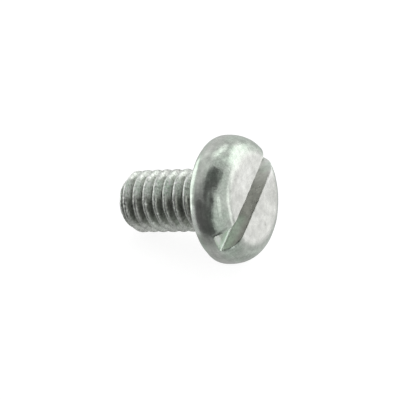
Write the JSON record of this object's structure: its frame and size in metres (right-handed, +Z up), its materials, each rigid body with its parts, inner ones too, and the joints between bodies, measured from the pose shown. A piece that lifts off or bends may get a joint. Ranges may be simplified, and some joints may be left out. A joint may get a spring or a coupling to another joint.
{
  "type": "slotted pan head machine screw",
  "caption": "Small slotted pan head machine screw, threaded up to its head, in bright zinc-plated steel. It joins thin parts into a tapped hole or a nut.",
  "frame": {"origin": "on the surface that the screw lies on, under the middle of its bounding box", "axes": "+Z up; the screw's axis lies in the XZ plane with its head towards +X, tilted up by 18.2 degrees; +Y to the side"},
  "size_m": [0.006, 0.0048, 0.0047],
  "materials": {
    "zinc_plated_steel": "bright zinc plating on steel, satin and lightly mottled, with small nicks on the crests and burrs at the slot"
  },
  "bodies": {
    "root": {"machine_screw": "zinc_plated_steel"}
  },
  "joints": []
}
